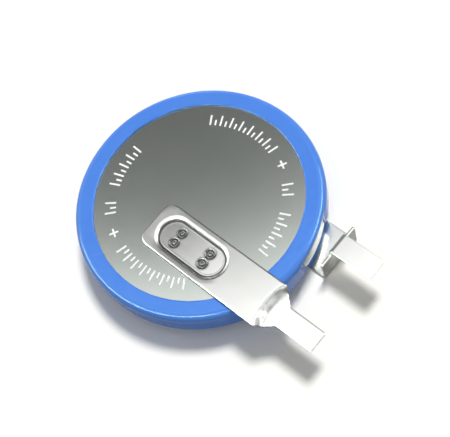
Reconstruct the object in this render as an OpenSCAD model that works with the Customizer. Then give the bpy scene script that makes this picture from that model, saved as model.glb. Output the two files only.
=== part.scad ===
// Lithium coin cell of 20 mm diameter with an insulating sleeve and two welded terminal tabs.
// Millimetres. The origin is on the cell's axis at the cap's flat face, with +Z towards the can's
// flat face and both tabs pointing along -Y.

/* [Can] */
// Outside diameter of the steel can
can_d = 20; // [19:0.5:25]
// Height over the cap's and the can's flat faces
cell_h = 3.2; // [3:0.1:4]
// Wall of the can
can_t = 0.25; // [0.2:0.05:0.3]
// Outside radius of the can's drawn corner
can_corner_r = 0.4; // [0.35:0.05:0.6]
// Outside radius of the edge that is curled over the seal
crimp_r = 1.25; // [1.15:0.05:1.35]
// Angle through which that edge is curled
crimp_angle = 80; // [65:5:85]

/* [Cap and seal] */
// Wall of the cap
cap_t = 0.25; // [0.2:0.05:0.3]
// Width of the cap's shoulder, from its face wall to the middle of its upper bend
cap_ledge_w = 0.45; // [0.35:0.05:1]
// Outside radius round the cap's face
cap_corner_r = 0.4; // [0.35:0.05:0.5]
// Radius where the cap's face wall meets its shoulder
cap_root_r = 0.15; // [0.1:0.05:0.2]
// Thickness of the moulded seal between can and cap
seal_t = 0.55; // [0.45:0.05:0.6]
// Width of the seal's foot inside the cap's skirt
seal_foot_w = 0.45; // [0.2:0.05:0.5]

/* [Stack inside] */
// Thickness of the lithium disc
anode_t = 0.6; // [0.4:0.05:0.8]
// Thickness of the separator cup's wall and floor
separator_t = 0.1; // [0.05:0.05:0.15]
// Height of the separator cup's wall
separator_h = 1.5; // [0.8:0.1:1.6]
// Thickness of the steel dish that holds the cathode
collector_t = 0.1; // [0.05:0.05:0.15]
// Height of the dish's wall
collector_h = 0.9; // [0.4:0.1:1]
// Radial clearance between the rings of the stack
stack_gap = 0.05; // [0.03:0.01:0.1]
// Gap between the lithium disc's edge and the cap's inner corner
anode_edge_gap = 0.3; // [0.2:0.05:0.6]

/* [Insulating sleeve] */
// Thickness of the shrunk film
sleeve_t = 0.2; // [0.1:0.02:0.24]
// Width of the film's flange over the can's flat face
sleeve_flange_w = 1.6; // [1:0.1:2.5]
// Clearance between the film and each tab that crosses it
film_gap = 0.04; // [0.02:0.01:0.1]
// How far the film reaches in past the curled edge's centre, underneath
sleeve_under = 0.15; // [0.05:0.05:0.2]
// Width of the relief in the film's side, behind the bent tab
relief_w = 4; // [3:0.1:4.5]
// How far the relief's middle lies from the tab's middle, towards the cell's axis
relief_shift = 0.6; // [0:0.05:0.8]
// Film left between the relief and the flat face at its low end
relief_rim_low = 0.9; // [0.7:0.1:1.2]
// Film left between the relief and the flat face at its high end
relief_rim_high = 0.5; // [0.5:0.1:0.9]
// How far the relief's high end leans in
relief_lean = 0.6; // [0.3:0.1:1]
// Angle down the curled edge at which the relief starts
relief_angle = 15; // [10:5:45]
// Radius of the relief's small corners
relief_corner_r = 0.2; // [0.1:0.05:0.25]
// Radius of the corner at its high end
relief_end_r = 0.6; // [0.3:0.1:0.7]

/* [Tabs] */
// Thickness of the tab sheet
tab_t = 0.2; // [0.15:0.05:0.25]
// Width of each tab's wide part
tab_w = 4; // [3.6:0.1:4.6]
// Width of each terminal strip
strip_w = 1.8; // [1.4:0.1:2.4]
// Distance between the two tabs' centre lines
tab_pitch = 7; // [6.5:0.5:8]
// How far each tab reaches past the cell's axis on its welded end
tab_in = 1.5; // [1:0.1:2.5]
// Radius of the welded end's corners
tab_end_r = 0.9; // [0.5:0.1:1.2]
// How far each terminal strip reaches past the sleeve's side
strip_past = 4.8; // [4.5:0.1:7]
// Inside radius of the tab's folds
fold_r = 0.25; // [0.2:0.05:0.3]
// Radius of the small corners of the tab's outline
tab_corner_r = 0.12; // [0.1:0.01:0.15]

/* [Joggled tab] */
// How far past the sleeve's side the wide part runs before it narrows
taper_past = 0.25; // [0.2:0.05:0.6]
// Length over which the wide part narrows to the strip
taper_l = 1.2; // [0.8:0.1:1.6]
// Radius of the blend at each end of the taper
taper_r = 0.3; // [0.2:0.05:0.4]
// Height that the joggle steps down
joggle_drop = 0.4; // [0.25:0.05:0.45]
// Slope of the joggle
joggle_angle = 32; // [25:1:40]
// Radius of the curved line along which the joggle's upper bend runs
joggle_r = 5.1; // [4:0.1:8]
// Clearance from the sleeve's side to the ends of that line
joggle_gap = 0.1; // [0.1:0.05:0.3]

/* [Welded pad] */
// Length of the pressed-down pad's floor
pad_l = 6.2; // [5.5:0.1:6.6]
// Width of the pad's floor
pad_w = 2.62; // [2.2:0.02:2.8]
// Width of the slope round the pad
pad_slope = 0.42; // [0.3:0.02:0.5]
// Distance from the tab's welded end to the pad's floor
pad_margin = 0.95; // [0.8:0.05:1.2]
// Radius of each weld electrode's print
weld_r = 0.44; // [0.4:0.01:0.46]
// Width of the ring groove at a print's edge
weld_ring_w = 0.12; // [0.08:0.01:0.12]
// Radius of the nub in a print's middle
weld_nub_r = 0.14; // [0.1:0.01:0.14]
// Depth of a print
weld_depth = 0.06; // [0.03:0.01:0.08]
// Distance between the two prints of a pair
weld_pair = 0.96; // [0.94:0.01:1.1]
// Distance between the two pairs
weld_step = 2.95; // [2.6:0.05:3.2]

/* [Bent tab] */
// Clearance between the sleeve's side and the upright part
riser_gap = 0.9; // [0.6:0.1:1.5]
// Depth of the upright part's shoulders below the terminal strip
shoulder_drop = 0.55; // [0.5:0.05:1]

/* [Hidden] */
$fn = 96;
// Degrees between the points of a bend
bend_step = 9;
// Degrees between the points of an outline's corner
corner_step = 11;
// How far a cutting shape runs past what it cuts
past = 1;

can_r = can_d / 2;
sleeve_r = can_r + sleeve_t;
// The curled edge stands back from the cap's face by the film and its clearance.
crimp_centre = [can_r - crimp_r, sleeve_t + film_gap + crimp_r];
// Inner faces of the can's floor and of the cap
can_floor_z = cell_h - can_t;
seal_outer_r = crimp_r - can_t;
cap_bend_r = seal_outer_r - seal_t;
cap_face_r = crimp_centre.x - cap_ledge_w;
shoulder_z = crimp_centre.y - cap_bend_r;
skirt_r = crimp_centre.x + cap_bend_r;
sleeve_open_r = sleeve_r - sleeve_flange_w;
skirt_end_z = can_floor_z - seal_t;

// The separator cup is the widest ring that fits inside the cap's face wall.
separator_r = cap_face_r - cap_t - stack_gap;
collector_r = separator_r - separator_t - stack_gap;
pellet_r = collector_r - collector_t;
anode_r = cap_face_r - cap_t - anode_edge_gap;
separator_z = cap_t + anode_t;
pellet_z = separator_z + separator_t;
pellet_h = can_floor_z - collector_t - pellet_z;

tab_x = tab_pitch / 2;
body_z = cell_h + sleeve_t + film_gap;
strip_z = body_z - joggle_drop;
tip_y = sleeve_r + strip_past;
taper_y = sleeve_r + taper_past;
pad_depth = body_z - cell_h;
pad_end_r = pad_w / 2;
pad_half = pad_l / 2 - pad_end_r;
pad_y = tab_in - pad_margin - pad_l / 2;
fold_mid_r = fold_r + tab_t / 2;
riser_u = sleeve_r + riser_gap + tab_t / 2;
// The joggle's bend line starts and ends clear of the sleeve, beside the tab's edge that lies
// nearer the cell's axis.
joggle_edge_y = sqrt(pow(sleeve_r, 2) - pow(tab_x - tab_w / 2, 2)) + joggle_gap;
joggle_y = joggle_edge_y + sqrt(pow(joggle_r, 2) - pow(tab_w / 2, 2));

steel = [0.78, 0.79, 0.78];
tin_white = [0.88, 0.88, 0.87];
film_blue = [0.3, 0.52, 0.88];

function ahead(a) = [cos(a), sin(a)];
function aside(a) = [-sin(a), cos(a)];
function flip(list) = [for (i = [len(list) - 1 : -1 : 0]) list[i]];

// Points on one side of a bent sheet. It starts at p in direction a, and each move is either
// [length] straight on or [mean radius, turn] round a bend, left turns being positive.
function side(moves, off, p, a, i = 0) =
    i == len(moves) ? [p + off * aside(a)] :
    len(moves[i]) == 1 ?
        concat([p + off * aside(a)], side(moves, off, p + moves[i][0] * ahead(a), a, i + 1)) :
    let (r = moves[i][0], turn = moves[i][1], s = sign(turn), c = p + s * r * aside(a),
         n = ceil(abs(turn) / bend_step))
    concat([for (k = [0 : n - 1]) let (b = a + turn * k / n) c + (off - s * r) * aside(b)],
           side(moves, off, c - s * r * aside(a + turn), a + turn, i + 1));

// Section of a sheet of thickness t bent along the moves
module bent_sheet(moves, t, p, a = 0) {
    polygon(concat(side(moves, t / 2, p, a), flip(side(moves, -t / 2, p, a))));
}

// Points round one corner b of an outline, between its neighbours a and c. A corner is [x, y, radius].
function corner(a, b, c) =
    let (at = [b.x, b.y], u = unit([a.x, a.y] - at), v = unit([c.x, c.y] - at), half = acos(u * v) / 2,
         centre = at + unit(u + v) * b[2] / sin(half), from = at + u * b[2] / tan(half) - centre,
         to = at + v * b[2] / tan(half) - centre, start = atan2(from.y, from.x),
         turn = (180 - 2 * half) * sign(from.x * to.y - from.y * to.x), n = ceil(abs(turn) / corner_step))
    [for (k = [0 : n]) centre + b[2] * ahead(start + turn * k / n)];
function unit(v) = v / norm(v);

// Outline with a rounded corner at each point
module rounded(corners) {
    n = len(corners);
    polygon([for (i = [0 : n - 1]) each corner(corners[(i + n - 1) % n], corners[i], corners[(i + 1) % n])]);
}

// Plan outline of both tabs, from the welded end to the strip's tip
module tab_plan(narrow_y, strip_y, blend_r) {
    w = tab_w / 2;
    s = strip_w / 2;
    rounded([[w, tab_in, tab_end_r], [-w, tab_in, tab_end_r],
             [-w, -narrow_y, blend_r], [-s, -strip_y, blend_r],
             [-s, -tip_y, tab_corner_r], [s, -tip_y, tab_corner_r],
             [s, -strip_y, blend_r], [w, -narrow_y, blend_r]]);
}

// Solid with sloping sides on a stadium, which widens by run over the height h and on past it
module stadium_slope(half, r, run, h, over) {
    top = h + over;
    top_r = r + run * top / h;
    for (e = [-1, 1]) translate([0, e * half, 0]) cylinder(r1 = r, r2 = top_r, h = top);
    rotate([90, 0, 0]) linear_extrude(2 * half, center = true)
        polygon([[-r, 0], [r, 0], [top_r, top], [-top_r, top]]);
}

// What one weld electrode leaves, cut down from z = 0: a ring groove, a land and a nub in a groove
module weld_print() {
    flank = weld_ring_w / 2;
    land_z = -weld_depth / 3;
    rotate_extrude() polygon([
        [weld_r, past], [weld_r, 0], [weld_r - flank, -weld_depth], [weld_r - 2 * flank, -weld_depth],
        [weld_r - 3 * flank, land_z], [weld_nub_r + flank, land_z], [weld_nub_r, -weld_depth],
        [0, land_z], [0, past]]);
}

module weld_prints() {
    for (x = [-1, 1], y = [-1, 1]) translate([x * weld_pair / 2, y * weld_step / 2, 0]) weld_print();
}

// Drawn steel cup, open downwards, with its edge curled in over the seal
module positive_can() {
    moves = [[can_r - can_corner_r], [can_corner_r - can_t / 2, -90],
             [cell_h - can_corner_r - crimp_centre.y], [crimp_r - can_t / 2, -crimp_angle]];
    color(steel) rotate_extrude() bent_sheet(moves, can_t, [0, cell_h - can_t / 2]);
}

// Bends of the cap from the foot of its face wall to the end of its skirt
shoulder_moves = [[shoulder_z - cap_root_r - cap_corner_r], [cap_root_r + cap_t / 2, -90],
                  [cap_ledge_w - cap_root_r], [cap_bend_r - cap_t / 2, 90],
                  [skirt_end_z - crimp_centre.y]];

// Drawn steel cap with a stepped side, its skirt standing in the seal
module negative_cap() {
    face_moves = [[cap_face_r - cap_corner_r], [cap_corner_r - cap_t / 2, 90]];
    color(steel) rotate_extrude() bent_sheet(concat(face_moves, shoulder_moves), cap_t, [0, cap_t / 2]);
}

// Moulded ring that fills the space between the can and the cap and carries the cap's skirt
module seal_ring() {
    foot_r = skirt_r - cap_t - seal_foot_w;
    corner_r = can_corner_r - can_t;
    // The curl is in two bends, the first of them under the can's own.
    can_side = side([[can_r - can_corner_r - foot_r], [corner_r, -90],
                     [cell_h - can_corner_r - crimp_centre.y], [seal_outer_r, -crimp_angle],
                     [seal_outer_r, crimp_angle - 90], [cap_ledge_w]], 0, [foot_r, can_floor_z], 0);
    cap_side = side(shoulder_moves, -cap_t / 2, [cap_face_r - cap_t / 2, cap_corner_r], 90);
    color([0.16, 0.16, 0.17]) rotate_extrude() polygon(concat(
        [[foot_r, skirt_end_z]], can_side, [for (i = [1 : len(cap_side) - 1]) cap_side[i]]));
}

module cathode_pellet() {
    color([0.13, 0.13, 0.14]) translate([0, 0, pellet_z]) cylinder(r = pellet_r, h = pellet_h);
}

// Shallow steel dish on the can's floor, which grips the pellet's edge
module cathode_collector() {
    color([0.6, 0.61, 0.62]) difference() {
        translate([0, 0, can_floor_z - collector_h]) cylinder(r = collector_r, h = collector_h);
        translate([0, 0, can_floor_z - collector_h - past])
            cylinder(r = pellet_r, h = collector_h - collector_t + past);
    }
}

// Cup of porous film between the two electrodes
module separator() {
    color([0.93, 0.93, 0.9]) difference() {
        translate([0, 0, separator_z]) cylinder(r = separator_r, h = separator_h);
        translate([0, 0, pellet_z]) cylinder(r = separator_r - separator_t, h = separator_h);
    }
}

module lithium_anode() {
    color([0.75, 0.76, 0.78]) translate([0, 0, cap_t]) cylinder(r = anode_r, h = anode_t);
}

// Opening in the sleeve's side behind the bent tab
module sleeve_relief() {
    low_z = crimp_centre.y - crimp_r * sin(relief_angle);
    r = relief_corner_r;
    x0 = tab_x - relief_shift - relief_w / 2;
    x1 = x0 + relief_w;
    translate([0, -sleeve_r / 2, 0]) rotate([90, 0, 0]) linear_extrude(sleeve_r)
        rounded([[x0, low_z, r], [x1, low_z, r],
                 [x1 - relief_lean, cell_h - relief_rim_high, relief_end_r],
                 [x0, cell_h - relief_rim_low, r]]);
}

// Film shrunk round the can, with a flange over each of its edges
module insulating_sleeve() {
    curl_r = crimp_r + sleeve_t / 2;
    moves = [[can_r - can_corner_r - sleeve_open_r], [can_corner_r + sleeve_t / 2, -90],
             [cell_h - can_corner_r - crimp_centre.y], [curl_r, -crimp_angle],
             [curl_r, crimp_angle - 90], [sleeve_under]];
    color(film_blue) difference() {
        rotate_extrude() bent_sheet(moves, sleeve_t, [sleeve_open_r, cell_h + sleeve_t / 2]);
        sleeve_relief();
    }
}

// Sheet stepped down towards the strip, along a bend line that is an arc about the strip's tip
module joggled_sheet() {
    r = fold_mid_r;
    // Slope's straight length that gives the drop after its two bends
    slope = (joggle_drop - 2 * r * (1 - cos(joggle_angle))) / sin(joggle_angle);
    run = 2 * r * sin(joggle_angle) + slope * cos(joggle_angle);
    translate([0, -joggle_y, 0]) rotate_extrude($fn = 180)
        bent_sheet([[joggle_r - run], [r, joggle_angle], [slope], [r, -joggle_angle], [tip_y + tab_in]],
                   tab_t, [0, strip_z + tab_t / 2]);
}

// Tab that lies on the can's flat face on its pressed-down pad and steps down beyond the sleeve
module positive_tab() {
    color(tin_white) translate([-tab_x, 0, 0]) difference() {
        intersection() {
            linear_extrude(body_z + tab_t + past) tab_plan(taper_y, taper_y + taper_l, taper_r);
            union() {
                joggled_sheet();
                translate([0, pad_y, cell_h])
                    stadium_slope(pad_half, pad_end_r, pad_slope, pad_depth, tab_t / 2);
            }
        }
        translate([0, pad_y, cell_h + tab_t]) {
            stadium_slope(pad_half, pad_end_r, pad_slope, pad_depth, tab_t);
            weld_prints();
        }
    }
}

// Tab that runs out under the cap, rises in front of the cell and turns out to its strip
module negative_tab() {
    w = tab_w / 2;
    s = strip_w / 2;
    r = fold_mid_r;
    strip_mid = strip_z + tab_t / 2;
    ledge_z = strip_z - shoulder_drop;
    color(tin_white) translate([tab_x, 0, 0]) difference() {
        intersection() {
            rotate([90, 0, -90]) linear_extrude(tab_w, center = true)
                bent_sheet([[riser_u - r + tab_in], [r, 90], [strip_mid + tab_t / 2 - 2 * r], [r, -90],
                            [tip_y - riser_u - r]], tab_t, [-tab_in, -tab_t / 2]);
            // Front outline, with the shoulders beside the strip's root
            translate([0, tab_in + past, 0]) rotate([90, 0, 0]) linear_extrude(tip_y + tab_in + 2 * past)
                rounded([[-w, -past, tab_corner_r], [w, -past, tab_corner_r],
                         [w, ledge_z, tab_corner_r], [s, ledge_z, tab_corner_r],
                         [s, strip_z + past, tab_corner_r], [-s, strip_z + past, tab_corner_r],
                         [-s, ledge_z, tab_corner_r], [-w, ledge_z, tab_corner_r]]);
            translate([0, 0, -past]) linear_extrude(strip_z + 2 * past)
                tab_plan(riser_u + fold_mid_r, riser_u + fold_mid_r, tab_corner_r);
        }
        translate([0, pad_y, -tab_t]) mirror([0, 0, 1]) weld_prints();
    }
}

positive_can();
negative_cap();
seal_ring();
cathode_pellet();
cathode_collector();
separator();
lithium_anode();
insulating_sleeve();
positive_tab();
negative_tab();
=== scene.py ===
import math

import bmesh
import bpy
from mathutils import Matrix, Vector, noise


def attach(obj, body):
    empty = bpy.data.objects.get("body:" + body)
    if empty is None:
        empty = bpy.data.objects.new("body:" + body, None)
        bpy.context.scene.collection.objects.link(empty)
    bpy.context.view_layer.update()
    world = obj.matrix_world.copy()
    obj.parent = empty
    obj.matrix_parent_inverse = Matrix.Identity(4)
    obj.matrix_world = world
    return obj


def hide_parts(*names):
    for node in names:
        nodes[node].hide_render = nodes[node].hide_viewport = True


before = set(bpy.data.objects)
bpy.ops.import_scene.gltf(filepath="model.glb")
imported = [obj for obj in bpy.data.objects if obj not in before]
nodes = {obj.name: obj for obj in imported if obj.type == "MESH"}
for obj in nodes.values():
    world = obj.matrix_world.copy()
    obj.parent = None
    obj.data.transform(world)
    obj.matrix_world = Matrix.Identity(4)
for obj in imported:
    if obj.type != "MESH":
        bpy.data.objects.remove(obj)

scene = bpy.context.scene
scene.view_settings.view_transform = "Standard"
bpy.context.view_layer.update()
toMetres = 0.001  # every shape below is worked out in millimetres
print("frame loaded:", len(nodes), "solids")


# sRGB hex to the linear colour that Blender's sockets take
def linearColour(hexColour):
    parts = [int(hexColour[i:i + 2], 16) / 255 for i in (1, 3, 5)]
    return [p / 12.92 if p <= 0.04045 else ((p + 0.055) / 1.055) ** 2.4 for p in parts] + [1.0]


# Adds one node: settings are sockets or properties, links are sockets fed by another node. A
# socket goes by its number where names repeat: 6 and 7 are the two colours of a colour mix.
def addNode(tree, kind, settings=None, links=None):
    node = tree.nodes.new(kind)
    for key, value in (settings or {}).items():
        if isinstance(key, int) or key in node.inputs:
            node.inputs[key].default_value = value
        else:
            setattr(node, key, value)
    for key, source in (links or {}).items():
        tree.links.new(source, node.inputs[key])
    return node


# A new material, its shader, and the surface's own place in millimetres
def startMaterial(name, settings):
    material = bpy.data.materials.new(name)
    material.use_nodes = True
    tree = material.node_tree
    shader = tree.nodes["Principled BSDF"]
    for key, value in settings.items():
        shader.inputs[key].default_value = value
    place = addNode(tree, "ShaderNodeTexCoord")
    inMm = addNode(tree, "ShaderNodeVectorMath", {"operation": "SCALE", "Scale": 1000.0},
                   {0: place.outputs["Object"]})
    return material, tree, shader, inMm.outputs[0]


# Points round an outline whose corners are (x, y, radius)
def roundedOutline(corners, stepDeg=9):
    points = []
    count = len(corners)
    for i, (x, y, radius) in enumerate(corners):
        at = Vector((x, y))
        u = (Vector(corners[i - 1][:2]) - at).normalized()
        v = (Vector(corners[(i + 1) % count][:2]) - at).normalized()
        half = math.acos(max(-1.0, min(1.0, u.dot(v)))) / 2
        centre = at + (u + v).normalized() * (radius / math.sin(half))
        first = at + u * (radius / math.tan(half)) - centre
        last = at + v * (radius / math.tan(half)) - centre
        start = math.atan2(first.y, first.x)
        turn = math.pi - 2 * half
        if first.x * last.y - first.y * last.x < 0:
            turn = -turn
        steps = max(2, math.ceil(abs(math.degrees(turn)) / stepDeg))
        for k in range(steps + 1):
            a = start + turn * k / steps
            points.append(centre + Vector((math.cos(a), math.sin(a))) * radius)
    return points


# The same outline moved in by a distance, at a sharp corner by at most about three times that
def insetOutline(points, distance):
    moved = []
    count = len(points)
    for i, p in enumerate(points):
        a = (p - points[i - 1]).normalized()
        b = (points[(i + 1) % count] - p).normalized()
        normalA, normalB = Vector((-a.y, a.x)), Vector((-b.y, b.x))
        middle = (normalA + normalB).normalized()
        moved.append(p + middle * (distance / max(0.3, middle.dot(normalA))))
    return moved


# A flat blank as it leaves the punch, its top edge rolled over and its lower one broken: z runs
# from 0 to its thickness
def punchBlank(outline, thickness, topRound, bottomRound, steps=3, topWide=None):
    topWide = topWide or topRound
    levels = []
    for k in range(steps + 1):
        a = math.pi / 2 * k / steps
        levels.append((bottomRound * (1 - math.sin(a)), bottomRound * (1 - math.cos(a))))
    for k in range(steps + 1):
        a = math.pi / 2 * k / steps
        levels.append((topWide * (1 - math.cos(a)), thickness - topRound * (1 - math.sin(a))))
    blank = bmesh.new()
    rings = []
    for inset, height in levels:
        ring = insetOutline(outline, inset) if inset > 0 else outline
        rings.append([blank.verts.new((p.x, p.y, height)) for p in ring])
    count = len(outline)
    for low, high in zip(rings, rings[1:]):
        for i in range(count):
            j = (i + 1) % count
            blank.faces.new((low[i], low[j], high[j], high[i]))
    blank.faces.new(rings[-1])
    blank.faces.new(list(reversed(rings[0])))
    return blank


# Cuts a blank across one axis at each position, so that it can bend there
def scoreBlank(blank, axis, positions):
    normal = Vector((0, 0, 0))
    normal[axis] = 1
    for p in positions:
        bmesh.ops.bisect_plane(blank, geom=blank.verts[:] + blank.edges[:] + blank.faces[:],
                               dist=1e-6, plane_co=normal * p, plane_no=normal)


# Halves the faces that a test picks, where fine relief follows
def refine(blank, wanted):
    edges = {e for f in blank.faces if wanted(f.calc_center_median()) for e in f.edges}
    bmesh.ops.subdivide_edges(blank, edges=list(edges), cuts=1, use_grid_fill=True)


# 0 before the start, 1 past the end and smooth between them
def ease(start, end, value):
    t = max(0.0, min(1.0, (value - start) / (end - start)))
    return t * t * (3 - 2 * t)


def spread(start, end, step):
    count = max(1, round(abs(end - start) / step))
    return [start + (end - start) * k / count for k in range(count + 1)]


flatMargin = 0.04  # a straight run has points this near to its ends, so that it shades flat
tipSteps = 6  # of a half-round edge


# Points along one side of a bent sheet, off its middle line. Each move is [length] straight on
# or [mean radius, turn in degrees], left turns being positive.
def sheetSide(moves, off, start, headingDeg=0, stepDeg=5, runStep=0.5):
    at, heading = Vector(start), math.radians(headingDeg)
    points = []
    for move in moves:
        ahead = Vector((math.cos(heading), math.sin(heading)))
        aside = Vector((-ahead.y, ahead.x))
        if len(move) == 1:
            margin = min(flatMargin, move[0] / 3)
            stops = [0.0] + spread(margin, move[0] - margin, runStep)
            points += [at + ahead * d + aside * off for d in stops]
            at = at + ahead * move[0]
        else:
            radius, turn = move[0], math.radians(move[1])
            way = 1 if turn > 0 else -1
            centre = at + aside * way * radius
            steps = max(2, math.ceil(abs(move[1]) / stepDeg))
            for k in range(steps):
                b = heading + turn * k / steps
                points.append(centre + Vector((-math.sin(b), math.cos(b))) * (off - way * radius))
            heading += turn
            at = centre - Vector((-math.sin(heading), math.cos(heading))) * way * radius
    points.append(at + Vector((-math.sin(heading), math.cos(heading))) * off)
    return points


# Closed section of a bent sheet, its edges rounded where they show
def sheetSection(moves, thickness, start, headingDeg=0, roundStart=False, roundEnd=False, **steps):
    left = sheetSide(moves, thickness / 2, start, headingDeg, **steps)
    right = sheetSide(moves, -thickness / 2, start, headingDeg, **steps)
    tips = []
    halfTurn = [math.pi * k / tipSteps for k in range(1, tipSteps)]
    for a, b, outwards, wanted in ((left[-1], right[-1], left[-1] - left[-2], roundEnd),
                                   (right[0], left[0], left[0] - left[1], roundStart)):
        middle, side = (a + b) / 2, (a - b) / 2
        push = outwards.normalized() * thickness / 2
        # The half-round edge lies within the sheet's length
        tips.append([middle - push + side * math.cos(t) + push * math.sin(t)
                     for t in halfTurn] if wanted else [])
    if roundEnd:
        left[-1] -= (left[-1] - left[-2]).normalized() * thickness / 2
        right[-1] -= (right[-1] - right[-2]).normalized() * thickness / 2
    if roundStart:
        left[0] += (left[1] - left[0]).normalized() * thickness / 2
        right[0] += (right[1] - right[0]).normalized() * thickness / 2
    return left + tips[0] + right[::-1] + tips[1]


# Turns a closed section of (radius, height) points round the cell's axis
def turnSection(section, segments, place=None):
    turned = bmesh.new()
    columns = []
    for point in section:
        # A point on the axis is a single corner
        if point[0] < 1e-6:
            columns.append([turned.verts.new((0, 0, point[1]))] * segments)
            continue
        column = []
        for k in range(segments):
            a = 2 * math.pi * k / segments
            r, z = place(point, a) if place else point
            column.append(turned.verts.new((r * math.cos(a), r * math.sin(a), z)))
        columns.append(column)
    for i, here in enumerate(columns):
        there = columns[(i + 1) % len(columns)]
        for k in range(segments):
            j = (k + 1) % segments
            corners = []
            for v in (here[k], there[k], there[j], here[j]):
                if v not in corners:
                    corners.append(v)
            if len(corners) > 2:
                turned.faces.new(corners)
    bmesh.ops.recalc_face_normals(turned, faces=turned.faces[:])
    return turned


# Makes the piece from its mesh in millimetres and lets it ride where its solid is
def finishPiece(mesh, name, material, stands=(), sharpDeg=32):
    for v in mesh.verts:
        v.co *= toMetres
    data = bpy.data.meshes.new(name)
    mesh.to_mesh(data)
    mesh.free()
    data.shade_smooth()
    data.set_sharp_from_angle(angle=math.radians(sharpDeg))
    data.materials.append(material)
    piece = bpy.data.objects.new(name, data)
    scene.collection.objects.link(piece)
    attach(piece, "root")
    if stands:
        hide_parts(*stands)
    return piece


# The photograph's camera: its place and turn in the cell's frame
cameraView = {"place": (-15.853, -33.753, 70.704), "azimuth": -27.18, "elevation": 62.81,
              "roll": -24.49, "lens": 77.83, "clip": (0.001, 10)}


def makeCamera(c):
    a, e, t = (math.radians(c[k]) for k in ("azimuth", "elevation", "roll"))
    back = Vector((math.sin(a) * math.cos(e), -math.cos(a) * math.cos(e), math.sin(e)))
    right = Vector((math.cos(a), math.sin(a), 0))
    up = back.cross(right)
    turnedRight = right * math.cos(t) + up * math.sin(t)
    turnedUp = up * math.cos(t) - right * math.sin(t)
    data = bpy.data.cameras.new("camera")
    data.lens = c["lens"]
    data.clip_start, data.clip_end = c["clip"]
    camera = bpy.data.objects.new("camera", data)
    scene.collection.objects.link(camera)
    axes = Matrix((turnedRight, turnedUp, back)).transposed().to_4x4()
    camera.matrix_world = Matrix.Translation(Vector(c["place"]) * toMetres) @ axes
    scene.camera = camera


makeCamera(cameraView)
print("camera set")


# Nickel-plated steel, drawn and barrel-plated: a satin grey metal with a soft mirror in it,
# slightly green beside the tabs, and a very fine even grain
def platedSteel():
    material, tree, shader, place = startMaterial(
        "nickel-plated drawn steel", {"Metallic": 1.0})
    cloud = addNode(tree, "ShaderNodeTexNoise", {"Scale": 0.35, "Detail": 3.0, "Roughness": 0.55},
                    {"Vector": place})
    tone = addNode(tree, "ShaderNodeMix", {"data_type": "RGBA", 6: linearColour("#AEB4AF"),
                                           7: linearColour("#B8BDB8")},
                   {"Factor": cloud.outputs["Fac"]})
    tree.links.new(tone.outputs[2], shader.inputs["Base Color"])
    # The plating's grain is about 0.02 mm. It is drawn at 0.2 mm, the finest that shows.
    grain = addNode(tree, "ShaderNodeTexNoise", {"Scale": 5.0, "Detail": 4.0, "Roughness": 0.7},
                    {"Vector": place})
    rough = addNode(tree, "ShaderNodeMapRange", {"To Min": 0.15, "To Max": 0.22},
                    {"Value": grain.outputs["Fac"]})
    tree.links.new(rough.outputs["Result"], shader.inputs["Roughness"])
    bump = addNode(tree, "ShaderNodeBump", {"Strength": 0.6, "Distance": 0.6e-6},
                   {"Height": grain.outputs["Fac"]})
    tree.links.new(bump.outputs["Normal"], shader.inputs["Normal"])
    return material


# Nickel-plated steel strip, rolled and left matt: paler than the can, with rolling lines along
# its length and a dull dark oxide where the welding electrodes pressed and where the welding's
# heat reached. The same dark colour is also painted shade: in the pad's crease, along the
# joggle's bends, on the upright part and on the far sheared sides.
def rolledStrip():
    material, tree, shader, place = startMaterial(
        "nickel-plated rolled strip", {"Metallic": 1.0})
    # Rolling lines are about 0.05 mm apart. They are drawn at 0.15 mm, so that they show.
    along = addNode(tree, "ShaderNodeMapping", {"Scale": (7.0, 0.25, 7.0)}, {"Vector": place})
    lines = addNode(tree, "ShaderNodeTexNoise", {"Scale": 1.0, "Detail": 5.0, "Roughness": 0.65},
                    {"Vector": along.outputs[0]})
    cloud = addNode(tree, "ShaderNodeTexNoise", {"Scale": 0.9, "Detail": 3.0}, {"Vector": place})
    tone = addNode(tree, "ShaderNodeMix", {"data_type": "RGBA", 6: linearColour("#C2C3C0"),
                                           7: linearColour("#C9CAC7")},
                   {"Factor": cloud.outputs["Fac"]})
    # The mark is weld oxide, and painted shade in the crease, the bends, the upright part and the
    # far edges
    mark = addNode(tree, "ShaderNodeAttribute", {"attribute_name": "oxideAndPaintedShade"})
    oxideAndShadeMix = addNode(tree, "ShaderNodeMix", {"data_type": "RGBA", 7: linearColour("#4A4B49")},
                    {"Factor": mark.outputs["Fac"], 6: tone.outputs[2]})
    tree.links.new(oxideAndShadeMix.outputs[2], shader.inputs["Base Color"])
    rough = addNode(tree, "ShaderNodeMapRange", {"To Min": 0.17, "To Max": 0.25},
                    {"Value": lines.outputs["Fac"]})
    dull = addNode(tree, "ShaderNodeMath", {"operation": "MULTIPLY_ADD", 1: 0.15},
                   {0: mark.outputs["Fac"], 2: rough.outputs["Result"]})
    tree.links.new(dull.outputs[0], shader.inputs["Roughness"])
    bump = addNode(tree, "ShaderNodeBump", {"Strength": 0.5, "Distance": 0.8e-6},
                   {"Height": lines.outputs["Fac"]})
    tree.links.new(bump.outputs["Normal"], shader.inputs["Normal"])
    return material


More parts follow.
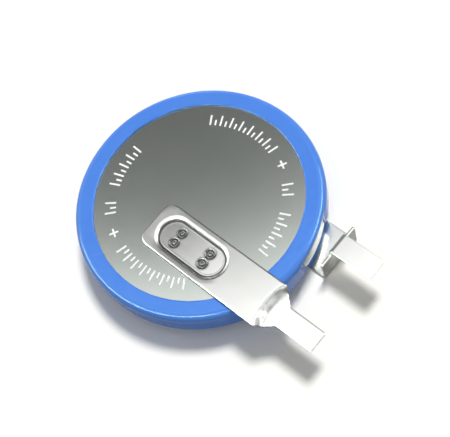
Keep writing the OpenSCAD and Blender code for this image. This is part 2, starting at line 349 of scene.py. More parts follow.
# Shrink film of dyed PVC: a smooth blue skin with a soft gloss, a little uneven where it drew
# in, and a faint pebble from the extruder
def shrinkFilm():
    material, tree, shader, place = startMaterial(
        "heat-shrunk PVC film", {"IOR": 1.53, "Specular IOR Level": 0.22,
                                 "Specular Tint": linearColour("#BEF8FF")})
    cloud = addNode(tree, "ShaderNodeTexNoise", {"Scale": 0.5, "Detail": 4.0, "Roughness": 0.6},
                    {"Vector": place})
    tone = addNode(tree, "ShaderNodeMix", {"data_type": "RGBA", 6: linearColour("#4E84E1"),
                                           7: linearColour("#578DE8")},
                   {"Factor": cloud.outputs["Fac"]})
    tree.links.new(tone.outputs[2], shader.inputs["Base Color"])
    # The pebble is about 0.3 mm across
    pebble = addNode(tree, "ShaderNodeTexNoise", {"Scale": 3.5, "Detail": 3.0}, {"Vector": place})
    rough = addNode(tree, "ShaderNodeMapRange", {"To Min": 0.08, "To Max": 0.13},
                    {"Value": pebble.outputs["Fac"]})
    tree.links.new(rough.outputs["Result"], shader.inputs["Roughness"])
    bump = addNode(tree, "ShaderNodeBump", {"Strength": 0.5, "Distance": 6e-6},
                   {"Height": pebble.outputs["Fac"]})
    tree.links.new(bump.outputs["Normal"], shader.inputs["Normal"])
    return material


# Moulded polypropylene, black: a dull skin with the mould's fine spark texture
def mouldedSeal():
    material, tree, shader, place = startMaterial(
        "moulded black polypropylene", {"IOR": 1.49, "Roughness": 0.45})
    # Spark pits are about 0.05 mm across. They are drawn at 0.17 mm, so that they show.
    spark = addNode(tree, "ShaderNodeTexNoise", {"Scale": 6.0, "Detail": 2.0}, {"Vector": place})
    tone = addNode(tree, "ShaderNodeMix", {"data_type": "RGBA", 6: linearColour("#242426"),
                                           7: linearColour("#2E2E30")},
                   {"Factor": spark.outputs["Fac"]})
    tree.links.new(tone.outputs[2], shader.inputs["Base Color"])
    bump = addNode(tree, "ShaderNodeBump", {"Strength": 0.6, "Distance": 2e-6},
                   {"Height": spark.outputs["Fac"]})
    tree.links.new(bump.outputs["Normal"], shader.inputs["Normal"])
    return material


# Pad-printed white ink: matt, opaque, with pinholes where it missed the grain
def printedInk():
    material, tree, shader, place = startMaterial(
        "pad-printed white ink", {"IOR": 1.5, "Roughness": 0.55})
    # Pinholes lie about 0.1 mm apart
    holes = addNode(tree, "ShaderNodeTexNoise", {"Scale": 9.0, "Detail": 2.0}, {"Vector": place})
    tone = addNode(tree, "ShaderNodeMapRange", {"From Min": 0.25, "From Max": 0.45,
                                                "To Min": 0.0, "To Max": 1.0},
                   {"Value": holes.outputs["Fac"]})
    colour = addNode(tree, "ShaderNodeMix", {"data_type": "RGBA", 6: linearColour("#DADCDA"),
                                             7: linearColour("#F4F5F4")},
                     {"Factor": tone.outputs["Result"]})
    tree.links.new(colour.outputs[2], shader.inputs["Base Color"])
    return material


# Pressed manganese dioxide and carbon: a black cake of fine grains
def pressedCathode():
    material, tree, shader, place = startMaterial(
        "pressed manganese dioxide", {"IOR": 1.5, "Roughness": 0.9})
    # Grains are about 0.04 mm across. They are drawn at 0.12 mm, so that they show.
    grains = addNode(tree, "ShaderNodeTexVoronoi", {"Scale": 8.0}, {"Vector": place})
    tone = addNode(tree, "ShaderNodeMix", {"data_type": "RGBA", 6: linearColour("#262628"),
                                           7: linearColour("#38383A")},
                   {"Factor": grains.outputs["Distance"]})
    tree.links.new(tone.outputs[2], shader.inputs["Base Color"])
    bump = addNode(tree, "ShaderNodeBump", {"Strength": 1.0, "Distance": 2e-5},
                   {"Height": grains.outputs["Distance"]})
    tree.links.new(bump.outputs["Normal"], shader.inputs["Normal"])
    return material


# Melt-blown polypropylene felt: white, with fine fibres lying every way
def feltSeparator():
    material, tree, shader, place = startMaterial(
        "melt-blown polypropylene felt", {"IOR": 1.49, "Roughness": 0.8})
    # Fibres are about 0.01 mm thick. They are drawn at 0.25 mm, so that they show.
    fibres = addNode(tree, "ShaderNodeTexNoise", {"Scale": 4.0, "Detail": 6.0, "Distortion": 3.0},
                     {"Vector": place})
    tone = addNode(tree, "ShaderNodeMix", {"data_type": "RGBA", 6: linearColour("#DCDCD6"),
                                           7: linearColour("#F0F0EC")},
                   {"Factor": fibres.outputs["Fac"]})
    tree.links.new(tone.outputs[2], shader.inputs["Base Color"])
    bump = addNode(tree, "ShaderNodeBump", {"Strength": 0.8, "Distance": 8e-6},
                   {"Height": fibres.outputs["Fac"]})
    tree.links.new(bump.outputs["Normal"], shader.inputs["Normal"])
    return material


# Lithium foil, cut and pressed: a soft silvery metal that dulls in patches
def pressedLithium():
    material, tree, shader, place = startMaterial(
        "pressed lithium foil", {"Metallic": 1.0})
    # Patches of tarnish are about 1.2 mm across
    tarnish = addNode(tree, "ShaderNodeTexNoise", {"Scale": 0.8, "Detail": 5.0}, {"Vector": place})
    tone = addNode(tree, "ShaderNodeMix", {"data_type": "RGBA", 6: linearColour("#A9AAAE"),
                                           7: linearColour("#D2D3D6")},
                   {"Factor": tarnish.outputs["Fac"]})
    tree.links.new(tone.outputs[2], shader.inputs["Base Color"])
    rough = addNode(tree, "ShaderNodeMapRange", {"To Min": 0.4, "To Max": 0.65},
                    {"Value": tarnish.outputs["Fac"]})
    tree.links.new(rough.outputs["Result"], shader.inputs["Roughness"])
    return material


steel, strip, film = platedSteel(), rolledStrip(), shrinkFilm()
seal, ink = mouldedSeal(), printedInk()
for nodeName, finish in (("cathode_pellet", pressedCathode()), ("separator", feltSeparator()),
                         ("lithium_anode", pressedLithium()), ("cathode_collector", steel)):
    nodes[nodeName].data.materials.clear()
    nodes[nodeName].data.materials.append(finish)
print("materials ready")


# Can, cap and seal: sections turned round the axis, sizes as the solids have them
cell = {"canRadius": 10.0, "height": 3.2, "wall": 0.25, "canCorner": 0.4,
        "crimpRadius": 1.25, "crimpHeight": 1.49, "crimpAngle": 80,
        "capFace": 8.3, "capCorner": 0.4, "capRoot": 0.15, "capLedge": 0.45, "shoulder": 1.04,
        "capBend": 0.45, "skirtEnd": 2.4, "sealCorner": 0.15, "sealFoot": 0.45, "sealBend": 1.0,
        "segments": 360, "sealSegments": 240}


def makeCan(c):
    half = c["wall"] / 2
    moves = [[c["canRadius"] - c["canCorner"]], [c["canCorner"] - half, -90],
             [c["height"] - c["canCorner"] - c["crimpHeight"]],
             [c["crimpRadius"] - half, -c["crimpAngle"]]]
    section = sheetSection(moves, c["wall"], (0, c["height"] - half), roundEnd=True)
    finishPiece(turnSection(section, c["segments"]), "can_shell", steel,
                ["positive_can"])


def capShoulder(c):
    half = c["wall"] / 2
    return [[c["shoulder"] - c["capRoot"] - c["capCorner"]], [c["capRoot"] + half, -90],
            [c["capLedge"] - c["capRoot"]], [c["capBend"] - half, 90],
            [c["skirtEnd"] - c["crimpHeight"]]]


def makeCap(c):
    half = c["wall"] / 2
    moves = [[c["capFace"] - c["capCorner"]], [c["capCorner"] - half, 90]] + capShoulder(c)
    section = sheetSection(moves, c["wall"], (0, half))
    finishPiece(turnSection(section, c["segments"]), "cap_shell", steel,
                ["negative_cap"])


def makeSeal(c):
    half = c["wall"] / 2
    foot = c["capFace"] + c["capLedge"] + c["capBend"] - c["wall"] - c["sealFoot"]
    floor = c["height"] - c["wall"]
    canSide = sheetSide([[c["canRadius"] - c["canCorner"] - foot], [c["sealCorner"], -90],
                         [c["height"] - c["canCorner"] - c["crimpHeight"]],
                         [c["sealBend"], -90], [c["capLedge"]]], 0, (foot, floor))
    capSide = sheetSide(capShoulder(c), -half, (c["capFace"] - half, c["capCorner"]), 90)
    section = [Vector((foot, c["skirtEnd"]))] + canSide + capSide[1:]
    finishPiece(turnSection(section, c["sealSegments"]), "seal_moulding", seal,
                ["seal_ring"])


makeCan(cell)
makeCap(cell)
makeSeal(cell)
print("cell shells turned")


# Film sleeve: it follows the can, gathers in fine folds over the shoulder, has a cut edge that
# wanders a little, and is open behind the bent tab
sleeve = {"openRadius": 8.6, "thickness": 0.2, "shoulderStart": 9.6, "shoulder": 0.5,
          "wall": 1.31, "curl": 1.35, "under": 0.15, "top": 3.3,
          "segments": 720, "steps": {"stepDeg": 6, "runStep": 0.12}, "sharpDeg": 40,
          # The cut edge, the gathers over the shoulder, and the slow sag of the whole skin
          "wander": 0.035, "wanderSizes": (2.2, 0.7), "wanderWithin": 9.3, "wanderAbove": 3.0,
          "gather": 0.016, "gatherSize": 0.42, "gatherHeight": 1.6, "gatherReach": 0.9,
          "sag": 0.012, "sagSize": 2.6,
          # The relief's corners as (x, z, radius), and where the film round it lies tight
          "relief": [(0.9, 0.65, 0.2), (4.9, 0.65, 0.2), (4.6, 2.95, 0.5), (0.9, 2.7, 0.3)],
          "plugEnds": (-5.0, -10.6), "press": 0.13, "pressFrom": (0.2, 0.8),
          "pressTo": (4.9, 5.5), "pressTop": (2.9, 3.25)}


def makeSleeve(c):
    moves = [[c["shoulderStart"] - c["openRadius"]], [c["shoulder"], -90], [c["wall"]],
             [c["curl"], -90], [c["under"]]]
    section = sheetSection(moves, c["thickness"], (c["openRadius"], c["top"]), roundStart=True,
                           roundEnd=True, **c["steps"])
    outerCount = len(sheetSide(moves, 0, (0, 0), **c["steps"]))
    corner = Vector((c["shoulderStart"], c["top"] - c["shoulder"]))
    placed = {id(p): i for i, p in enumerate(section)}
    skinNormal = []
    for i in range(outerCount):
        a, b = section[max(i - 1, 0)], section[min(i + 1, outerCount - 1)]
        run = (b - a).normalized()
        skinNormal.append(Vector((-run.y, run.x)))

    def place(point, angle):
        r, z = point
        spoke = Vector((math.cos(angle), math.sin(angle), 0))
        if r < c["wanderWithin"] and z > c["wanderAbove"]:
            # The cut edge wanders, and the film behind it follows less and less
            share = (c["wanderWithin"] - r) / (c["wanderWithin"] - c["openRadius"])
            wide, narrow = (noise.noise(spoke * c["openRadius"] / size)
                            for size in c["wanderSizes"])
            r += c["wander"] * (wide + 0.5 * narrow) * share
        if placed[id(point)] < outerCount:
            # Outer skin: gathers run up and down, strongest over the shoulder
            fromCorner = (Vector((r, z)) - corner).length
            nearShoulder = max(0.0, 1 - abs(fromCorner - c["shoulder"]) / c["gatherReach"])
            gather = noise.noise(Vector((spoke.x * r / c["gatherSize"],
                                         spoke.y * r / c["gatherSize"], z / c["gatherHeight"])))
            sag = noise.noise(Vector((spoke.x * r, spoke.y * r, z)) / c["sagSize"])
            depth = c["gather"] * nearShoulder * (0.5 + 0.5 * gather)
            depth += c["sag"] * (0.5 + 0.5 * sag)
            # Round the relief the film is drawn tight on the can
            if spoke.y < 0:
                x = spoke.x * r
                depth += c["press"] * (ease(*c["pressFrom"], x) - ease(*c["pressTo"], x)) * (
                    1 - ease(*c["pressTop"], z))
            out = skinNormal[placed[id(point)]]
            r, z = r - out.x * depth, z - out.y * depth
        return r, z

    skin = turnSection(section, c["segments"], place)
    piece = finishPiece(skin, "film_sleeve", film, ["insulating_sleeve"],
                        c["sharpDeg"])
    # The relief is cut through the side with a plug of its outline
    outline = roundedOutline(c["relief"])
    plug = bmesh.new()
    near, shadedFar = ([plug.verts.new((p.x, y, p.y)) for p in outline] for y in c["plugEnds"])
    for i in range(len(outline)):
        j = (i + 1) % len(outline)
        plug.faces.new((near[i], near[j], shadedFar[j], shadedFar[i]))
    plug.faces.new(near[::-1])
    plug.faces.new(shadedFar)
    bmesh.ops.recalc_face_normals(plug, faces=plug.faces[:])
    for v in plug.verts:
        v.co *= toMetres
    plugData = bpy.data.meshes.new("plug")
    plug.to_mesh(plugData)
    plug.free()
    plugObject = bpy.data.objects.new("plug", plugData)
    scene.collection.objects.link(plugObject)
    cut = piece.modifiers.new("relief", "BOOLEAN")
    cut.operation, cut.object, cut.solver = "DIFFERENCE", plugObject, "EXACT"
    graph = bpy.context.evaluated_depsgraph_get()
    whole = bpy.data.meshes.new_from_object(piece.evaluated_get(graph))
    piece.modifiers.clear()
    piece.data = whole
    bpy.data.objects.remove(plugObject)
    whole.shade_smooth()
    whole.set_sharp_from_angle(angle=math.radians(c["sharpDeg"]))


makeSleeve(sleeve)
print("sleeve shrunk on")


# Both tabs are punched from the same strip, inner and tip being where it ends. Cuts are given by
# their start, end and step. What lies nearer than onFace to a face counts as on it.
tab = {"thickness": 0.2, "half": 2.0, "stripHalf": 0.9, "inner": 1.5, "endRadius": 0.9,
       "tip": 15.0, "corner": 0.12, "pitch": 7.0, "bendRadius": 0.22, "stripMiddle": 3.14,
       "weldMiddle": -2.55, "weldAcross": 0.48, "weldAlong": 1.475, "onFace": 1e-4}
joggledTab = {
    "topRound": 0.06, "topWide": 0.11, "bottomRound": 0.03, "roundSteps": 4,
    "bodyMiddle": 3.54, "taperStart": 10.45, "taperEnd": 11.65, "taperBlend": 0.3,
    "cutsAlong": [(1.42, -6.3, 0.055), (-6.7, -9.3, 0.4), (-9.55, -11.2, 0.05),
                  (-11.6, -14.8, 0.4)],
    "cutsAcross": [(-1.9, 1.9, 0.055)], "finePrint": 0.66, "finePad": (-0.3, 0.25),
    # The joggle: its angle, drop and bends, the arc of its bend line, and its shallow dents
    "angle": 32, "drop": 0.4, "bend": 0.55, "lineRadius": 5.1, "lineCentre": 14.88,
    "dents": 0.02, "dentCloud": (1.6, 3.5, 3.1),
    # The pad: a gentle fall outside it, a steep one at its foot, and a floor that crowns
    "padHalf": 1.79, "padRadius": 1.31, "padSlope": 0.3, "padSlopeEnd": 0.08, "padSlopeEase": 0.06,
    "padFall": 0.065, "padFoot": (0.1, -0.01), "padDepth": 0.24, "padCrown": 0.03,
    "creaseDepth": 0.02, "creaseIn": 0.02, "creaseWidth": 0.07,
    "lip": 0.004, "lipIn": 0.14, "lipWidth": 0.05,
    # The sheet drawn down beside the pad, on its -X side, and between it and the tab's end
    "dish": 0.012, "dishAcross": (-0.6, -1.4), "dishOut": (0.1, 0.7),
    "tail": 0.011, "tailAlong": (-0.8, 0.4), "tailOut": 0.95,
    # Marks, 0 to 1: painted shade along the bend, the welding's heat, painted shade in the crease,
    # and the sheared edge, painted shade on its far sides
    "bendShade": 0.8, "bendShadeCloud": (1.3, 2.2, 5.9), "bendShadeEven": 0.85, "bendShadePatchy": 0.8,
    "bendShadeEnds": 0.3, "bendShadeAcross": (1.1, 1.7),
    "heat": 0.4, "heatAcross": (0.95, 1.4), "heatAlong": (1.5, 2.6),
    "creaseShade": 1.2, "creaseShadeWidth": 0.1,
    "sheared": 0.75, "shearedDepth": 0.014, "shadeReachTop": 0.01, "shadedSide": (1.7, 1.85),
    "shadedEnd": (1.1, 1.35), "shadedCorner": (-1.8, -1.1),
    "shearedFade": 0.4, "stripFrom": (-11.0, -12.0), "tipFrom": (-14.7, -14.95)}
bentTab = {
    "riser": 11.2, "ledge": 2.49, "ledgeEdge": 0.04, "edgeRound": 0.03, "roundSteps": 3,
    "cutsAlong": [(1.3, 0.1, 0.3), (-0.3, -1.85, 0.06), (-3.3, -4.8, 0.06)],
    "cutsAcross": [(-1.2, 1.2, 0.06)], "sideCut": 1.85, "finePrint": 0.62,
    # Cuts in and between the bends: how far they keep from a bend's ends, and their step
    "floorStart": -5.2, "floorCuts": (0.1, 0.5), "bendCuts": (0.04, 0.03),
    "riserCuts": (0.2, 0.4), "stripCuts": (0.2, 0.5),
    # Marks, 0 to 1: painted shade on the upright part, darker towards its +X side, and the sheared
    # edge
    "tarnish": 0.55, "uprightShadeCloud": (0.9, 0.9, 7.7), "uprightShadeEven": 0.9, "uprightShadePatchy": 0.3,
    "uprightShadeSide": 0.4, "uprightShadeAcross": (0.5, 1.2), "sheared": 0.4}

welds = [(x * tab["weldAcross"], tab["weldMiddle"] + y * tab["weldAlong"])
         for x in (-1, 1) for y in (-1, 1)]

# What an electrode leaves: a ring groove, a land and a nub, as (depth, radius, softness), and the
# oxide that is dark in groove and rim and thin on the land, as (strength, radius, softness)
electrode = {"reach": 0.6, "groove": (0.034, 0.37, 0.06), "land": (0.02, 0.4, 0.02),
             "nub": (0.03, 0.15, 0.045), "oxideReach": 0.75, "oxideRing": (1.1, 0.4, 0.13),
             "oxideLand": (0.78, 0.42, 0.03), "oxideNub": (0.38, 0.16, 0.06)}


def softRing(height, radius, softness, d):
    return height * math.exp(-((d - radius) / softness) ** 2)


def softDisc(height, radius, softness, d):
    return height / (1 + math.exp((d - radius) / softness))


# The depth and the oxide of one print at a distance from its middle
def printDepth(d, c=electrode):
    if d > c["reach"]:
        return 0.0
    return softRing(*c["groove"], d) + softDisc(*c["land"], d) + softRing(*c["nub"], d)


def printOxide(d, c=electrode):
    if d > c["oxideReach"]:
        return 0.0
    return min(1.0, softRing(*c["oxideRing"], d) + softDisc(*c["oxideLand"], d)
               + softRing(*c["oxideNub"], d))


def weldDistance(x, y):
    return min(math.hypot(x - wx, y - wy) for wx, wy in welds)


# Patches of one cloud, from its scale across and along the strip and its place in the noise
def patches(across, along, cloud):
    return noise.noise(Vector((across * cloud[0], along * cloud[1], cloud[2])))


def cutRows(cuts):
    return [p for cut in cuts for p in spread(*cut)]


# Makes the tab from its bent blank, with its marks for the strip's material
def finishTab(blank, name, node, marked):
    piece = finishPiece(blank, name, strip, [node])
    piece.data.attributes.new("oxideAndPaintedShade", "FLOAT", "POINT").data.foreach_set("value", marked)


# Middle line of the joggled sheet: height and slope at a distance from the bend line's centre
def joggleLine(rho, c):
    r, angle = c["bend"], math.radians(c["angle"])
    slope = (c["drop"] - 2 * r * (1 - math.cos(angle))) / math.sin(angle)
    bend, flat = r * math.sin(angle), slope * math.cos(angle)
    u = rho - (c["lineRadius"] - 2 * bend - flat)
    low, high = tab["stripMiddle"], c["bodyMiddle"]
    if u <= 0:
        return low, 0.0
    if u < bend:
        a = math.asin(u / r)
        return low + r * (1 - math.cos(a)), a
    if u < bend + flat:
        return low + r * (1 - math.cos(angle)) + (u - bend) * math.tan(angle), angle
    if u < 2 * bend + flat:
        a = math.asin((2 * bend + flat - u) / r)
        return high - r * (1 - math.cos(a)), a
    return high, 0.0


def padDistance(x, y, c):
    along = max(-c["padHalf"], min(c["padHalf"], y - tab["weldMiddle"]))
    return math.hypot(x, y - tab["weldMiddle"] - along)


def makeJoggledTab(c):
    w, s, k = tab["half"], tab["stripHalf"], tab["corner"]
    outline = roundedOutline([
        (w, tab["inner"], tab["endRadius"]), (-w, tab["inner"], tab["endRadius"]),
        (-w, -c["taperStart"], c["taperBlend"]), (-s, -c["taperEnd"], c["taperBlend"]),
        (-s, -tab["tip"], k), (s, -tab["tip"], k), (s, -c["taperEnd"], c["taperBlend"]),
        (w, -c["taperStart"], c["taperBlend"])])
    blank = punchBlank(outline, tab["thickness"], c["topRound"], c["bottomRound"],
                       c["roundSteps"], c["topWide"])
    scoreBlank(blank, 1, cutRows(c["cutsAlong"]))
    scoreBlank(blank, 0, cutRows(c["cutsAcross"]))
    top, full = tab["thickness"] - tab["onFace"], math.radians(c["angle"])
    foot, padEnd = c["padRadius"], c["padHalf"] + c["padRadius"]
    refine(blank, lambda p: p.z > top and weldDistance(p.x, p.y) < c["finePrint"])
    refine(blank, lambda p: p.z > top and
           c["finePad"][0] < padDistance(p.x, p.y, c) - foot < c["finePad"][1])
    marked = []
    for v in blank.verts:
        x, y, n = v.co
        share, lift = n / tab["thickness"], n - tab["thickness"] / 2
        rho = math.hypot(x, y + c["lineCentre"])
        height, a = joggleLine(rho, c)
        away = Vector((x, y + c["lineCentre"], 0)) / max(rho, 1e-6)
        point = Vector((x, y, height)) - away * (lift * math.sin(a))
        point.z += lift * math.cos(a)
        # The bend was hit once and not cleanly: shallow dents lie along it
        if a > 0:
            point.z += c["dents"] * patches(x, rho, c["dentCloud"]) * a / full
        # The pad's side falls gently, then steeply at its foot
        d = padDistance(x, y, c)
        t = max(0.0, min(1.0, (foot + c["padSlope"] - d) / (c["padSlope"] - c["padSlopeEnd"])))
        gentle = t - c["padSlopeEase"] * math.sin(2 * math.pi * t)
        steep = ease(foot + c["padFoot"][0], foot + c["padFoot"][1], d)
        point.z -= c["padFall"] * gentle + (c["padDepth"] - c["padFall"]) * steep
        # The sheet beside it and beyond it is drawn down a little
        beside = ease(*c["dishAcross"], x) * (
            1 - ease(foot + c["dishOut"][0], foot + c["dishOut"][1], d))
        point.z -= c["dish"] * beside * (1 - steep)
        beyond = ease(*c["tailAlong"], y) * (1 - max(0.0, min(1.0, (d - foot) / c["tailOut"])))
        point.z -= c["tail"] * beyond * (1 - steep)
        crease = math.exp(-((d - foot + c["creaseIn"]) / c["creaseWidth"]) ** 2)
        lip = math.exp(-((d - foot + c["lipIn"]) / c["lipWidth"]) ** 2)
        crown = steep * max(0.0, 1 - ((y - tab["weldMiddle"]) / padEnd) ** 2)
        weld = weldDistance(x, y)
        point.z += share * (c["lip"] * lip + c["padCrown"] * crown - c["creaseDepth"] * crease
                            - printDepth(weld))
        v.co = point + Vector((-tab["pitch"] / 2, 0, 0))
        # Painted shade along the joggle's bends: darker the steeper the slope, in blotches and
        # towards the ends
        blotch = c["bendShadeEven"] + c["bendShadePatchy"] * patches(x, rho, c["bendShadeCloud"])
        blotch += c["bendShadeEnds"] * ease(*c["bendShadeAcross"], abs(x))
        bendShade = c["bendShade"] * blotch * a / full
        # The welding's heat dulled both sides of the pad
        heat = c["heat"] * ease(*c["heatAcross"], abs(x)) * (
            1 - ease(*c["heatAlong"], abs(y - tab["weldMiddle"])))
        # Painted shade in the crease round the pad's foot
        shadedCrease = c["creaseShade"] * math.exp(
            -((d - foot + c["creaseIn"]) / c["creaseShadeWidth"]) ** 2)
        mark = min(1.0, max(bendShade, heat * (1 - steep), printOxide(weld) + shadedCrease)) * share
        # The sheared edge is bare and dark. On the two far sides the dark is painted shade, right
        # up to the top.
        shadedFar = max(ease(*c["shadedSide"], x), ease(*c["shadedEnd"], y) * ease(*c["shadedCorner"], x))
        depth = c["shearedDepth"] - c["shadeReachTop"] * shadedFar
        sheared = c["sheared"] * (1 - ease(top - depth, top, n)) if n > tab["onFace"] else 0.0
        sheared *= (1 - c["shearedFade"] * ease(*c["stripFrom"], y)
                    - c["shearedFade"] * ease(*c["tipFrom"], y))
        marked.append(max(mark, sheared))
    finishTab(blank, "joggled_tab", "positive_tab", marked)


def makeBentTab(c):
    w, s, k, r = tab["half"], tab["stripHalf"], tab["corner"], tab["bendRadius"]
    t = tab["thickness"]
    quarter = math.pi / 2 * r  # a bend's length along the sheet's middle
    floorRun = c["riser"] - r + tab["inner"]
    riserRun = tab["stripMiddle"] + t / 2 - 2 * r
    bends = (floorRun, floorRun + quarter, floorRun + quarter + riserRun,
             floorRun + 2 * quarter + riserRun)
    ledge = tab["inner"] - (bends[1] + c["ledge"] - (r - t / 2))
    tip = tab["inner"] - (bends[3] + tab["tip"] - c["riser"] - r)
    outline = roundedOutline([(w, tab["inner"], tab["endRadius"]),
                              (-w, tab["inner"], tab["endRadius"]), (-w, ledge, k), (-s, ledge, k),
                              (-s, tip, k), (s, tip, k), (s, ledge, k), (w, ledge, k)])
    blank = punchBlank(outline, t, c["edgeRound"], c["edgeRound"], c["roundSteps"])
    floorIn, floorStep = c["floorCuts"]
    bendIn, bendStep = c["bendCuts"]
    riserIn, riserStep = c["riserCuts"]
    stripIn, stripStep = c["stripCuts"]
    rows = cutRows(c["cutsAlong"])
    rows += spread(c["floorStart"], tab["inner"] - bends[0] + floorIn, floorStep)
    for start, end in (bends[:2], bends[2:]):
        rows += spread(tab["inner"] - start + bendIn, tab["inner"] - end - bendIn, bendStep)
    rows += spread(tab["inner"] - bends[1] - riserIn, tab["inner"] - bends[2] + riserIn, riserStep)
    rows += spread(tab["inner"] - bends[3] - stripIn, tip + stripIn, stripStep)
    scoreBlank(blank, 1, rows)
    scoreBlank(blank, 0, [-c["sideCut"]] + cutRows(c["cutsAcross"]) + [c["sideCut"]])
    refine(blank, lambda p: p.z < tab["onFace"] and weldDistance(p.x, p.y) < c["finePrint"])
    ledgeEdge = ledge + c["ledgeEdge"]
    marked = []
    for v in blank.verts:
        x, y, n = v.co
        run, lift = tab["inner"] - y, n - t / 2
        if run <= bends[0]:
            u, z, a = run - tab["inner"], -t / 2, 0.0
        elif run <= bends[1]:
            a = (run - bends[0]) / r
            u, z = c["riser"] - r + r * math.sin(a), -t / 2 + r * (1 - math.cos(a))
        elif run <= bends[2]:
            a = math.pi / 2
            u, z = c["riser"], -t / 2 + r + run - bends[1]
        elif run <= bends[3]:
            b = (run - bends[2]) / r
            a = math.pi / 2 - b
            u, z = c["riser"] + r - r * math.cos(b), tab["stripMiddle"] - r + r * math.sin(b)
        else:
            u, z, a = c["riser"] + r + run - bends[3], tab["stripMiddle"], 0.0
        u -= lift * math.sin(a)
        z += lift * math.cos(a)
        weld, under = weldDistance(x, y), 1 - n / t
        z += under * printDepth(weld)
        v.co = Vector((x + tab["pitch"] / 2, -u, z))
        # Painted shade on the upright part, in blotches and darker towards its +X side
        upright = ease(bends[0], bends[1], run) - ease(bends[2], bends[3], run)
        if abs(x) > s and y < ledgeEdge:
            upright = 0.0
        blotch = c["uprightShadeEven"] + c["uprightShadePatchy"] * patches(x, run, c["uprightShadeCloud"])
        blotch += c["uprightShadeSide"] * ease(*c["uprightShadeAcross"], x)
        sheared = c["sheared"] if tab["onFace"] < n < t - tab["onFace"] and ledgeEdge < y else 0.0
        marked.append(max(printOxide(weld) * under, c["tarnish"] * upright * blotch, sheared))
    finishTab(blank, "bent_tab", "negative_tab", marked)


makeJoggledTab(joggledTab)
makeBentTab(bentTab)
print("tabs punched and bent")


# Ink on the can's face: a plus and three groups of plain scale marks, twice round the face. A
# group is the angle where it starts and how many marks it has.
marks = {"radius": 7.2, "face": 3.2, "ink": 0.012, "long": 0.94, "short": 0.5, "stroke": 0.15,
         "corner": 0.05, "cornerStep": 30, "edgeSteps": 2, "pitch": 3.55,
         "groups": [(32.6, 15), (-44.5, 3), (-65.1, 9)], "plus": -29.9, "plusSize": 0.78}


def makeMarks(c):
    inked = bmesh.new()

    def lay(corners, alongRadius, angleDeg):
        outline = roundedOutline([(x, y, c["corner"]) for x, y in corners], c["cornerStep"])
        bar = punchBlank(outline, c["ink"], c["ink"] / 2, 0.0, c["edgeSteps"])
        bmesh.ops.translate(bar, verts=bar.verts[:], vec=(alongRadius, 0, c["face"]))
        turn = Matrix.Rotation(math.radians(angleDeg), 3, "Z")
        bmesh.ops.rotate(bar, verts=bar.verts[:], matrix=turn)
        data = bpy.data.meshes.new("bar")
        bar.to_mesh(data)
        bar.free()
        inked.from_mesh(data)
        bpy.data.meshes.remove(data)

    # A plus is the tip and foot of one arm, four times round
    a, b = c["plusSize"] / 2, c["stroke"] / 2
    arm, plus = [(a, b), (b, b), (b, a)], []
    for quarter in range(4):
        plus += arm
        arm = [(-y, x) for x, y in arm]
    inner = c["radius"] - c["long"] / 2
    for half in (0, 180):
        for start, count in c["groups"]:
            for k in range(count):
                x, y = (c["short"] if k % 2 else c["long"]) / 2, c["stroke"] / 2
                lay([(x, y), (-x, y), (-x, -y), (x, -y)], inner + x, start - k * c["pitch"] + half)
        lay(plus, c["radius"], c["plus"] + half)
    finishPiece(inked, "printed_marks", ink)


makeMarks(marks)
print("marks printed")


# White paper sweep under the cell. The camera and mirrors see it white, and the light that it
# throws back on the cell is duller. A hole that the cell covers lets light reach its cap, for when
# it is looked at from below.
sweep = {"radius": 500.0, "hole": 8.0, "height": -0.2, "segments": 96}


def makeSweep(c):
    data = bpy.data.meshes.new("sweep")
    count = c["segments"]
    turns = [2 * math.pi * k / count for k in range(count)]
    corners = [(r * math.cos(a) * toMetres, r * math.sin(a) * toMetres, 0.0)
               for r in (c["hole"], c["radius"]) for a in turns]
    data.from_pydata(corners, [], [(k, k + count, (k + 1) % count + count, (k + 1) % count)
                                   for k in range(count)])
    paper = bpy.data.objects.new("sweep", data)
    paper.location.z = c["height"] * toMetres
    scene.collection.objects.link(paper)
    material, tree, shader, _ = startMaterial("matt white paper", {"Roughness": 1.0,
                                                                   "Specular IOR Level": 0.0})
    path = addNode(tree, "ShaderNodeLightPath")
    seen = addNode(tree, "ShaderNodeMath", {"operation": "MAXIMUM"},
                   {0: path.outputs["Is Camera Ray"], 1: path.outputs["Is Glossy Ray"]})
    through = addNode(tree, "ShaderNodeMath", {"operation": "MAXIMUM"},
                      {0: seen.outputs[0], 1: path.outputs["Is Transmission Ray"]})
    tone = addNode(tree, "ShaderNodeMix", {"data_type": "RGBA", 6: linearColour("#A0A0A0"),
                                           7: linearColour("#FFFEF8")},
                   {"Factor": through.outputs[0]})
    tree.links.new(tone.outputs[2], shader.inputs["Base Color"])
    # From below the paper isn't there, so that the cell's underside can be seen
    side = addNode(tree, "ShaderNodeNewGeometry")
    clear = addNode(tree, "ShaderNodeBsdfTransparent")
    both = addNode(tree, "ShaderNodeMixShader", {}, {0: side.outputs["Backfacing"],
                                                    1: shader.outputs[0], 2: clear.outputs[0]})
    tree.links.new(both.outputs[0], tree.nodes["Material Output"].inputs["Surface"])
    data.materials.append(material)


makeSweep(sweep)


# Light: a soft key and an even fill. The mirrors see a bright ceiling with a brighter rim to the
# left and right, dull walls and five dark cards, the last one overhead. A card is a direction,
# how wide it is without and with its soft edge in degrees, and what it leaves of the light.
studio = {"keyAzimuth": 108.0, "keyElevation": 64.5, "keyAngle": 14.0, "key": 2.45, "fill": 0.37,
          "ceilingLevel": 2.5, "wallLevel": 1.2, "ceilingEdge": (0.3, 0.6),
          "rimAround": (0.16, 0.32, 0.935), "rimLevel": 42.0, "rimEdges": (46, 51, 55, 61),
          "rimGap": (0.3, 0.5),
          "cards": [((0.357, 0.593, 0.722), 17.5, 23.2, 0.085),
                    ((0.893, 0.264, 0.363), 18.4, 32.4, 0.03),
                    ((0.55, 0.80, 0.24), 14.0, 28.0, 0.15),
                    ((0.17, -0.53, 0.83), 9.0, 19.0, 0.22),
                    ((0.0, 0.0, 1.0), 8.0, 12.5, 0.4)]}


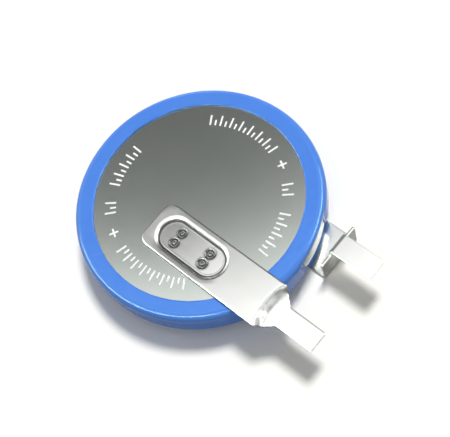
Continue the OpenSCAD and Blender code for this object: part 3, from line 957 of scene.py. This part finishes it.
def makeStudio(c):
    a, e = math.radians(c["keyAzimuth"]), math.radians(c["keyElevation"])
    towards = Vector((math.sin(a) * math.cos(e), -math.cos(a) * math.cos(e), math.sin(e)))
    data = bpy.data.lights.new("key", "SUN")
    data.energy = c["key"]
    data.angle = math.radians(c["keyAngle"])
    key = bpy.data.objects.new("key", data)
    key.rotation_mode = "QUATERNION"
    key.rotation_quaternion = towards.to_track_quat("Z", "Y")
    key.visible_glossy = False
    scene.collection.objects.link(key)
    world = bpy.data.worlds.new("studio")
    world.use_nodes = True
    scene.world = world
    tree = world.node_tree
    place = addNode(tree, "ShaderNodeTexCoord")

    # 1 within the near angle of a direction, and 0 past the far one
    def closeTo(direction, nearDeg, farDeg):
        along = addNode(tree, "ShaderNodeVectorMath",
                        {"operation": "DOT_PRODUCT", 1: Vector(direction).normalized()},
                        {0: place.outputs["Generated"]})
        return addNode(tree, "ShaderNodeMapRange", {
            "interpolation_type": "SMOOTHSTEP", "From Min": math.cos(math.radians(farDeg)),
            "From Max": math.cos(math.radians(nearDeg))}, {"Value": along.outputs["Value"]})

    axes = addNode(tree, "ShaderNodeSeparateXYZ", {}, {0: place.outputs["Generated"]})
    level = addNode(tree, "ShaderNodeMapRange", {
        "interpolation_type": "SMOOTHSTEP", "From Min": c["ceilingEdge"][0],
        "From Max": c["ceilingEdge"][1], "To Min": c["wallLevel"], "To Max": c["ceilingLevel"]},
        {"Value": axes.outputs["Z"]})
    # The rim is what lies within its outer edge and not within its inner one
    within = closeTo(c["rimAround"], c["rimEdges"][2], c["rimEdges"][3])
    inside = closeTo(c["rimAround"], c["rimEdges"][0], c["rimEdges"][1])
    rim = addNode(tree, "ShaderNodeMath", {"operation": "SUBTRACT", "use_clamp": True},
                  {0: within.outputs["Result"], 1: inside.outputs["Result"]})
    aside = addNode(tree, "ShaderNodeMath", {"operation": "ABSOLUTE"}, {0: axes.outputs["X"]})
    lit = addNode(tree, "ShaderNodeMapRange", {
        "interpolation_type": "SMOOTHSTEP", "From Min": c["rimGap"][0], "From Max": c["rimGap"][1]},
        {"Value": aside.outputs[0]})
    share = addNode(tree, "ShaderNodeMath", {"operation": "MULTIPLY"},
                    {0: rim.outputs[0], 1: lit.outputs["Result"]})
    level = addNode(tree, "ShaderNodeMix", {"B": c["rimLevel"]},
                    {"Factor": share.outputs[0], "A": level.outputs["Result"]})
    for direction, nearDeg, farDeg, left in c["cards"]:
        card = closeTo(direction, nearDeg, farDeg)
        keep = addNode(tree, "ShaderNodeMath", {"operation": "MULTIPLY_ADD", 1: left - 1, 2: 1.0},
                       {0: card.outputs["Result"]})
        level = addNode(tree, "ShaderNodeMath", {"operation": "MULTIPLY"},
                        {0: level.outputs[0], 1: keep.outputs[0]})
    path = addNode(tree, "ShaderNodeLightPath")
    mirrored = addNode(tree, "ShaderNodeMix", {"A": c["fill"]},
                       {"Factor": path.outputs["Is Glossy Ray"], "B": level.outputs[0]})
    seen = addNode(tree, "ShaderNodeMath", {"operation": "MAXIMUM"},
                   {0: path.outputs["Is Camera Ray"], 1: path.outputs["Is Transmission Ray"]})
    strength = addNode(tree, "ShaderNodeMix", {"B": 1.0},
                       {"Factor": seen.outputs[0], "A": mirrored.outputs[0]})
    tree.links.new(strength.outputs[0], tree.nodes["Background"].inputs["Strength"])
    tree.nodes["Background"].inputs["Color"].default_value = linearColour("#FFFFFF")


makeStudio(studio)
print("studio lit")
